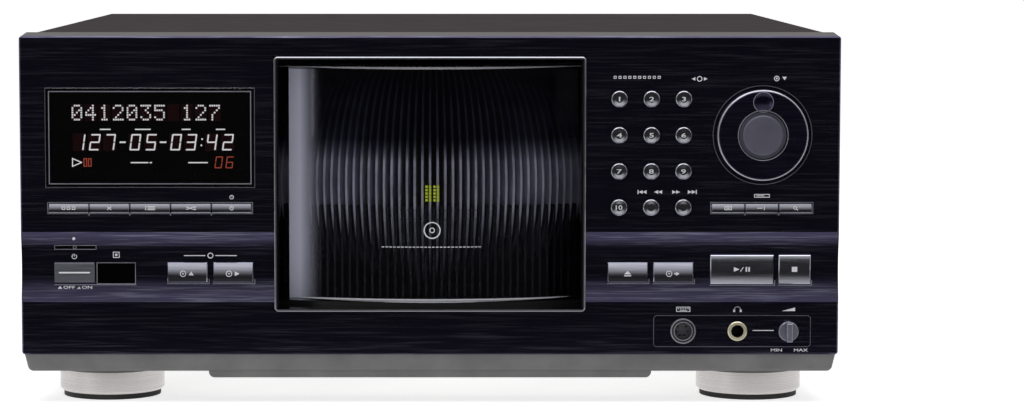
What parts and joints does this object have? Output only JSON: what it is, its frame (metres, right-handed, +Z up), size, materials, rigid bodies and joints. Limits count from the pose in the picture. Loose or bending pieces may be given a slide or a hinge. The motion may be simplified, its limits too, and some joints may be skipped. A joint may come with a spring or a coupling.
{
  "type": "compact disc changer",
  "caption": "Full-width disc changer with a rotary rack of discs on edge behind a curved smoked door, a player in the rack's middle, display, keys and jog dial.",
  "frame": {"origin": "middle of the overall footprint, on the surface that the feet stand on", "axes": "+X to the right seen from the front, +Y from the front panel to the rear, +Z up"},
  "size_m": [0.42, 0.4154, 0.1904],
  "materials": {
    "panel": "brushed bluish black",
    "rim": "polished rim, black tunnel",
    "lens": "polished smoked",
    "key": "satin dark metallic",
    "dial": "spun dark metallic",
    "cap": "satin grey",
    "base": "satin grey",
    "cover": "fine textured dark paint",
    "steel": "zinc plated",
    "foot": "spun silver",
    "pad": "matt",
    "gilt": "gilt",
    "board": "board",
    "core": "varnished laminations",
    "moulding": "black moulding",
    "disc": "clear disc edge",
    "smoked": "smoked door",
    "gear": "natural gear plastic",
    "tube": "display tube"
  },
  "bodies": {
    "case": {"front_panel": "panel", "window_frame": "rim", "display_window": "lens", "display_module": "tube", "front_lenses": "lens", "phones_jack": "gilt", "keyboard_socket": "moulding", "base_moulding": "base", "top_cover": "cover", "bottom_chassis": "steel", "rack_guides": "moulding", "rear_panel": "cover", "rear_sockets": "gilt", "power_inlet": "moulding", "feet": "foot", "foot_pads": "pad", "transformer": "core", "circuit_boards": "board", "drive_motors": "steel", "player_chassis": "steel"},
    "rack": {"disc_rack": "moulding", "rack_comb": "moulding", "discs": "disc"},
    "door": {"disc_door": "smoked"},
    "door_pinion": {"door_pinion": "gear"},
    "rack_pinion": {"rack_pinion": "gear"},
    "spindle": {"spindle": "moulding"},
    "pickup": {"pickup": "moulding"},
    "clamp_arm": {"clamp_arm": "moulding"},
    "loading_arm": {"loading_arm": "moulding"},
    "jog_dial": {"jog_dial": "dial"},
    "jog_button": {"jog_button": "cap"},
    "level_knob": {"level_knob": "cap"},
    "mode_key": {"mode_key": "key"},
    "clear_key": {"clear_key": "key"},
    "program_key": {"program_key": "key"},
    "random_key": {"random_key": "key"},
    "time_key": {"time_key": "key"},
    "title_display_key": {"title_display_key": "key"},
    "title_input_key": {"title_input_key": "key"},
    "title_search_key": {"title_search_key": "key"},
    "digit_1": {"digit_1": "key"},
    "digit_2": {"digit_2": "key"},
    "digit_3": {"digit_3": "key"},
    "digit_4": {"digit_4": "key"},
    "digit_5": {"digit_5": "key"},
    "digit_6": {"digit_6": "key"},
    "digit_7": {"digit_7": "key"},
    "digit_8": {"digit_8": "key"},
    "digit_9": {"digit_9": "key"},
    "digit_10": {"digit_10": "key"},
    "track_back": {"track_back": "key"},
    "track_forward": {"track_forward": "key"},
    "power_button": {"power_button": "key"},
    "loader_access_key": {"loader_access_key": "key"},
    "loader_play_key": {"loader_play_key": "key"},
    "open_close_key": {"open_close_key": "key"},
    "unload_key": {"unload_key": "key"},
    "play_pause_key": {"play_pause_key": "key"},
    "stop_key": {"stop_key": "key"}
  },
  "joints": [
    {"name": "mode_key_press", "type": "slide", "parent": "case", "child": "mode_key", "axis": [0, 1, 0], "range_m": [0, 0.001], "stiffness_N_per_m": 400},
    {"name": "clear_key_press", "type": "slide", "parent": "case", "child": "clear_key", "axis": [0, 1, 0], "range_m": [0, 0.001], "stiffness_N_per_m": 400},
    {"name": "program_key_press", "type": "slide", "parent": "case", "child": "program_key", "axis": [0, 1, 0], "range_m": [0, 0.001], "stiffness_N_per_m": 400},
    {"name": "random_key_press", "type": "slide", "parent": "case", "child": "random_key", "axis": [0, 1, 0], "range_m": [0, 0.001], "stiffness_N_per_m": 400},
    {"name": "time_key_press", "type": "slide", "parent": "case", "child": "time_key", "axis": [0, 1, 0], "range_m": [0, 0.001], "stiffness_N_per_m": 400},
    {"name": "title_display_key_press", "type": "slide", "parent": "case", "child": "title_display_key", "axis": [0, 1, 0], "range_m": [0, 0.001], "stiffness_N_per_m": 400},
    {"name": "title_input_key_press", "type": "slide", "parent": "case", "child": "title_input_key", "axis": [0, 1, 0], "range_m": [0, 0.001], "stiffness_N_per_m": 400},
    {"name": "title_search_key_press", "type": "slide", "parent": "case", "child": "title_search_key", "axis": [0, 1, 0], "range_m": [0, 0.001], "stiffness_N_per_m": 400},
    {"name": "digit_1_press", "type": "slide", "parent": "case", "child": "digit_1", "axis": [0, 1, 0], "range_m": [0, 0.001], "stiffness_N_per_m": 400},
    {"name": "digit_2_press", "type": "slide", "parent": "case", "child": "digit_2", "axis": [0, 1, 0], "range_m": [0, 0.001], "stiffness_N_per_m": 400},
    {"name": "digit_3_press", "type": "slide", "parent": "case", "child": "digit_3", "axis": [0, 1, 0], "range_m": [0, 0.001], "stiffness_N_per_m": 400},
    {"name": "digit_4_press", "type": "slide", "parent": "case", "child": "digit_4", "axis": [0, 1, 0], "range_m": [0, 0.001], "stiffness_N_per_m": 400},
    {"name": "digit_5_press", "type": "slide", "parent": "case", "child": "digit_5", "axis": [0, 1, 0], "range_m": [0, 0.001], "stiffness_N_per_m": 400},
    {"name": "digit_6_press", "type": "slide", "parent": "case", "child": "digit_6", "axis": [0, 1, 0], "range_m": [0, 0.001], "stiffness_N_per_m": 400},
    {"name": "digit_7_press", "type": "slide", "parent": "case", "child": "digit_7", "axis": [0, 1, 0], "range_m": [0, 0.001], "stiffness_N_per_m": 400},
    {"name": "digit_8_press", "type": "slide", "parent": "case", "child": "digit_8", "axis": [0, 1, 0], "range_m": [0, 0.001], "stiffness_N_per_m": 400},
    {"name": "digit_9_press", "type": "slide", "parent": "case", "child": "digit_9", "axis": [0, 1, 0], "range_m": [0, 0.001], "stiffness_N_per_m": 400},
    {"name": "digit_10_press", "type": "slide", "parent": "case", "child": "digit_10", "axis": [0, 1, 0], "range_m": [0, 0.001], "stiffness_N_per_m": 400},
    {"name": "track_back_press", "type": "slide", "parent": "case", "child": "track_back", "axis": [0, 1, 0], "range_m": [0, 0.001], "stiffness_N_per_m": 400},
    {"name": "track_forward_press", "type": "slide", "parent": "case", "child": "track_forward", "axis": [0, 1, 0], "range_m": [0, 0.001], "stiffness_N_per_m": 400},
    {"name": "power_button_press", "type": "slide", "parent": "case", "child": "power_button", "axis": [0, 1, 0], "range_m": [0, 0.001], "stiffness_N_per_m": 400},
    {"name": "loader_access_key_press", "type": "slide", "parent": "case", "child": "loader_access_key", "axis": [0, 1, 0], "range_m": [0, 0.001], "stiffness_N_per_m": 400},
    {"name": "loader_play_key_press", "type": "slide", "parent": "case", "child": "loader_play_key", "axis": [0, 1, 0], "range_m": [0, 0.001], "stiffness_N_per_m": 400},
    {"name": "open_close_key_press", "type": "slide", "parent": "case", "child": "open_close_key", "axis": [0, 1, 0], "range_m": [0, 0.001], "stiffness_N_per_m": 400},
    {"name": "unload_key_press", "type": "slide", "parent": "case", "child": "unload_key", "axis": [0, 1, 0], "range_m": [0, 0.001], "stiffness_N_per_m": 400},
    {"name": "play_pause_key_press", "type": "slide", "parent": "case", "child": "play_pause_key", "axis": [0, 1, 0], "range_m": [0, 0.001], "stiffness_N_per_m": 400},
    {"name": "stop_key_press", "type": "slide", "parent": "case", "child": "stop_key", "axis": [0, 1, 0], "range_m": [0, 0.001], "stiffness_N_per_m": 400},
    {"name": "jog_button_press", "type": "slide", "parent": "case", "child": "jog_button", "axis": [0, 1, 0], "range_m": [0, 0.001], "stiffness_N_per_m": 400},
    {"name": "dial_turn", "type": "hinge", "parent": "case", "child": "jog_dial", "pos_m": [0.17019, -0.19974, 0.1385], "axis": [0, 1, 0], "continuous": true},
    {"name": "level_turn", "type": "hinge", "parent": "case", "child": "level_knob", "pos_m": [0.18429, -0.19974, 0.0375], "axis": [0, 1, 0], "range_deg": [-150, 150]},
    {"name": "rack_turn", "type": "hinge", "parent": "case", "child": "rack", "pos_m": [0, 0.00305, 0.036], "axis": [0, 0, 1], "continuous": true},
    {"name": "door_slide_round", "type": "hinge", "parent": "case", "child": "door", "pos_m": [0, 0.00305, 0.03], "axis": [0, 0, -1], "range_deg": [0, 48]},
    {"name": "rack_pinion_turn", "type": "hinge", "parent": "case", "child": "rack_pinion", "pos_m": [0.11667, 0.11972, 0.03], "axis": [0, 0, 1], "continuous": true},
    {"name": "door_pinion_turn", "type": "hinge", "parent": "case", "child": "door_pinion", "pos_m": [-0.1157, -0.13484, 0.03], "axis": [0, 0, -1], "range_deg": [0, 1200]},
    {"name": "spindle_turn", "type": "hinge", "parent": "case", "child": "spindle", "pos_m": [0, 0.00305, 0.112], "axis": [1, 0, 0], "continuous": true},
    {"name": "pickup_travel", "type": "slide", "parent": "case", "child": "pickup", "axis": [0, 0, -1], "range_m": [0, 0.034]},
    {"name": "clamp_swing", "type": "hinge", "parent": "case", "child": "clamp_arm", "pos_m": [-0.006, 0.05355, 0.112], "axis": [0, 0, -1], "range_deg": [0, 12], "stiffness_Nm_per_rad": 0.02},
    {"name": "loading_swing", "type": "hinge", "parent": "case", "child": "loading_arm", "pos_m": [0.006, -0.03695, 0.045], "axis": [1, 0, 0], "range_deg": [0, 25]}
  ],
  "couplings": [
    {"joint": "rack_pinion_turn", "follows": "rack_turn", "ratio": -10},
    {"joint": "door_pinion_turn", "follows": "door_slide_round", "ratio": 25}
  ]
}
